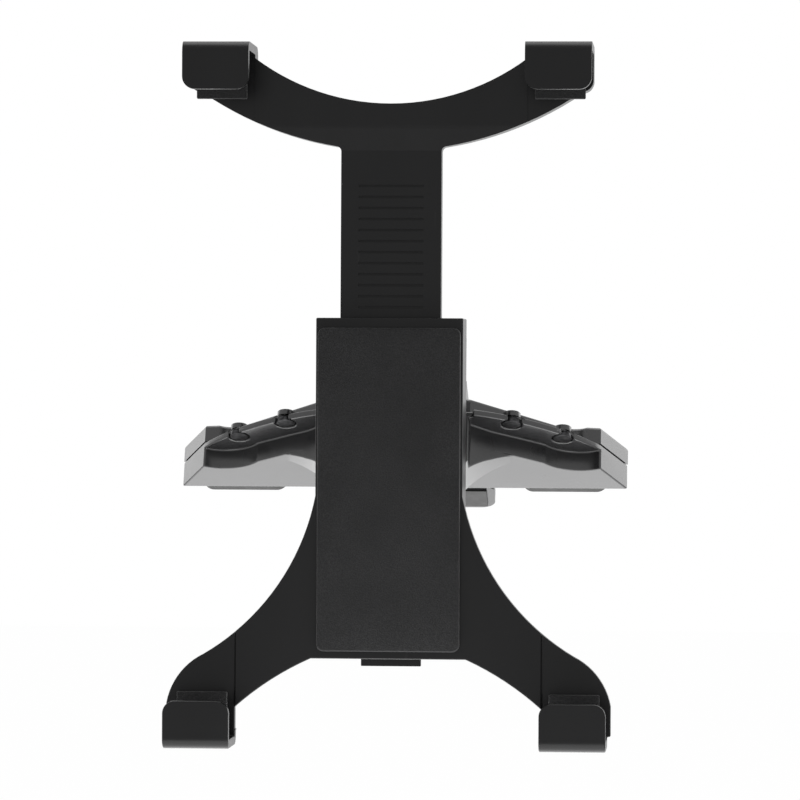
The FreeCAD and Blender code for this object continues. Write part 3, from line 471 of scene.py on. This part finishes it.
def finish_mesh(name, mesh):
    """Write a bmesh to a smooth-shaded mesh."""
    data = bpy.data.meshes.new(name)
    mesh.to_mesh(data)
    mesh.free()
    for polygon in data.polygons:
        polygon.use_smooth = True
    return data


def foam_sheet(name, node, body):
    """Die-cut foam sheet: rounded corners, softly crushed front edge and a slight crown."""
    low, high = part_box(node)
    flat_low = Vector((low.x, low.z))
    flat_high = Vector((high.x, high.z))
    edge_depth = low.y + FOAM_CROWN
    rings = [corner_ring(flat_low, flat_high, FOAM_CORNER, high.y)]
    for step in range(FOAM_EDGE_STEPS + 1):
        angle = QUARTER_TURN * step / FOAM_EDGE_STEPS
        inset = FOAM_EDGE * (1.0 - math.cos(angle))
        depth = edge_depth + FOAM_EDGE * (1.0 - math.sin(angle))
        shrink = Vector((inset, inset))
        rings.append(corner_ring(flat_low + shrink, flat_high - shrink, FOAM_CORNER - inset, depth))
    middle = (flat_low + flat_high) / 2
    half = (flat_high - flat_low) / 2 - Vector((FOAM_EDGE, FOAM_EDGE))
    for share in FOAM_CROWN_SHARES:
        reach = half * share
        corner = (FOAM_CORNER - FOAM_EDGE) * share
        rise = FOAM_CROWN * (1.0 - share**2)
        rings.append(corner_ring(middle - reach, middle + reach, corner, edge_depth - rise))
    mesh = bmesh.new()
    bridge(mesh, rings)
    add_piece(name, finish_mesh(name, mesh), FOAM, body, node)


def lining_profile(low, high, up):
    """Outline in Y and Z of a foam strip that runs along a claw's shelf and then along its arm."""
    shelf, tip = (high.z, low.z) if up > 0 else (low.z, high.z)
    tip += up * LINING_SHORT
    arm = high.y
    face = arm - LINING_THICK
    under = shelf - up * LINING_THICK
    outline = [(low.y, shelf), (arm, shelf), (arm, tip), (face, tip)]
    for step in range(LINING_BEND_STEPS + 1):
        angle = QUARTER_TURN * step / LINING_BEND_STEPS
        turn = LINING_BEND * (1.0 - math.sin(angle))
        fall = LINING_BEND * (1.0 - math.cos(angle))
        outline.append((face - fall, under - up * turn))
    outline.append((low.y, under))
    return outline


def claw_lining(name, node, body, up):
    """Foam strip bent along a claw's shelf and arm, with crushed edges and a slightly uneven face."""
    low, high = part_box(node)
    outline = lining_profile(low, high, up)
    shelf = high.z if up > 0 else low.z
    width = high.x - low.x - 2.0 * LINING_INSET
    rings = []
    for step in range(LINING_STEPS + 1):
        x = low.x + LINING_INSET + width * step / LINING_STEPS
        ring = []
        for y, z in outline:
            seated = abs(y - high.y) < LINING_EDGE or abs(z - shelf) < LINING_EDGE
            wave = math.sin(LINING_WAVE_PER_STEP * step + LINING_WAVE_PER_METRE * z)
            dip = 0.0 if seated else LINING_WAVE * (1.0 + wave)
            ring.append(Vector((x, y + dip, z)))
        rings.append(ring)
    mesh = bmesh.new()
    bridge(mesh, rings)
    piece = add_piece(name, finish_mesh(name, mesh), FOAM, body, node)
    round_off(piece, LINING_EDGE)


foam_sheet("foam_front_sheet", "front_pad", "cradle")
for level, body, up in (("upper", "arm", 1), ("lower", "cradle", -1)):
    for side in ("left", "right"):
        claw_lining(f"foam_{level}_{side}_lining", f"{level}_{side}_claw_pad", body, up)


# Studio

def white_rays(tree):
    """Return 1 for rays that see the white background: from the camera, from a reflection or through glass."""
    rays = add_node(tree, "ShaderNodeLightPath").outputs
    mirrored = combine(tree, "MAXIMUM", rays["Is Glossy Ray"], rays["Is Transmission Ray"])
    return combine(tree, "MAXIMUM", rays["Is Camera Ray"], mirrored)


def white_floor():
    """White floor that is seen as nearly pure white, with a trace of the object's soft shadow."""
    material, tree, shader = new_material("floor_white")
    shader.inputs["Base Color"].default_value = (FLOOR_GREY, FLOOR_GREY, FLOOR_GREY, 1.0)
    shader.inputs["Roughness"].default_value = FLOOR_ROUGHNESS
    shader.inputs["Specular IOR Level"].default_value = 0.0
    glow = add_node(tree, "ShaderNodeEmission", Strength=1.0)
    mixed = add_node(tree, "ShaderNodeMixShader")
    tree.links.new(combine(tree, "MULTIPLY", white_rays(tree), FLOOR_WHITE), mixed.inputs[0])
    tree.links.new(shader.outputs[0], mixed.inputs[1])
    tree.links.new(glow.outputs[0], mixed.inputs[2])
    tree.links.new(mixed.outputs[0], tree.nodes["Material Output"].inputs["Surface"])
    return material


def add_floor():
    """Lay the floor well under the object, which a slot holds up: a short apron and a long sweep behind."""
    level = CAD_BOX[0][2] - FLOOR_DROP
    mesh = bmesh.new()
    corners = (
        (-FLOOR_REACH, -FLOOR_FRONT),
        (FLOOR_REACH, -FLOOR_FRONT),
        (FLOOR_REACH, FLOOR_REACH),
        (-FLOOR_REACH, FLOOR_REACH),
    )
    mesh.faces.new([mesh.verts.new((x, y, level)) for x, y in corners])
    floor = bpy.data.objects.new("floor", finish_mesh("floor", mesh))
    floor.data.materials.append(white_floor())
    bpy.context.scene.collection.objects.link(floor)


def white_world():
    """White all round for what is seen. What it lights is bright behind and above, and dim in front."""
    world = bpy.data.worlds.new("studio")
    bpy.context.scene.world = world
    world.use_nodes = True
    tree = world.node_tree
    background = tree.nodes["Background"]
    source = add_node(tree, "ShaderNodeTexCoord")
    split = add_node(tree, "ShaderNodeSeparateXYZ")
    tree.links.new(source.outputs["Generated"], split.inputs[0])
    room = spread(tree, split.outputs["Y"], ROOM_DEPTH, ROOM_LIGHT)
    ceiling = spread(tree, split.outputs["Z"], CEILING_HEIGHT, CEILING_LIGHT)
    lit = combine(tree, "MAXIMUM", room, ceiling)
    tree.links.new(combine(tree, "MAXIMUM", lit, white_rays(tree)), background.inputs["Strength"])
    background.inputs["Color"].default_value = (1.0, 1.0, 1.0, 1.0)


def add_lamp(name, where, target, size, power):
    """Add a soft square lamp that points at a target and isn't seen itself."""
    data = bpy.data.lights.new(name, "AREA")
    data.size = size
    data.energy = power
    lamp = bpy.data.objects.new(name, data)
    bpy.context.scene.collection.objects.link(lamp)
    lamp.location = where
    lamp.rotation_euler = (Vector(target) - Vector(where)).to_track_quat("-Z", "Y").to_euler()
    lamp.visible_camera = False


def add_camera():
    """Put the camera where the picture was taken from."""
    data = bpy.data.cameras.new("camera")
    data.sensor_width = CAMERA_SENSOR
    data.lens = data.sensor_width * CAMERA_DISTANCE / PICTURE_WIDTH
    data.clip_end = CAMERA_CLIP
    camera = bpy.data.objects.new("camera", data)
    bpy.context.scene.collection.objects.link(camera)
    flat = math.cos(CAMERA_ELEVATION)
    sideways = flat * math.sin(CAMERA_AZIMUTH)
    forward = -flat * math.cos(CAMERA_AZIMUTH)
    offset = Vector((sideways, forward, math.sin(CAMERA_ELEVATION)))
    camera.location = AIM + CAMERA_DISTANCE * offset
    facing = (-offset).to_track_quat("-Z", "Y")
    camera.rotation_euler = facing.to_euler()
    camera.rotation_euler.rotate_axis("Z", CAMERA_ROLL)
    bpy.context.scene.camera = camera


add_floor()
white_world()
for lamp_values in LAMPS:
    add_lamp(*lamp_values)
add_camera()
bpy.context.scene.view_settings.view_transform = "Standard"
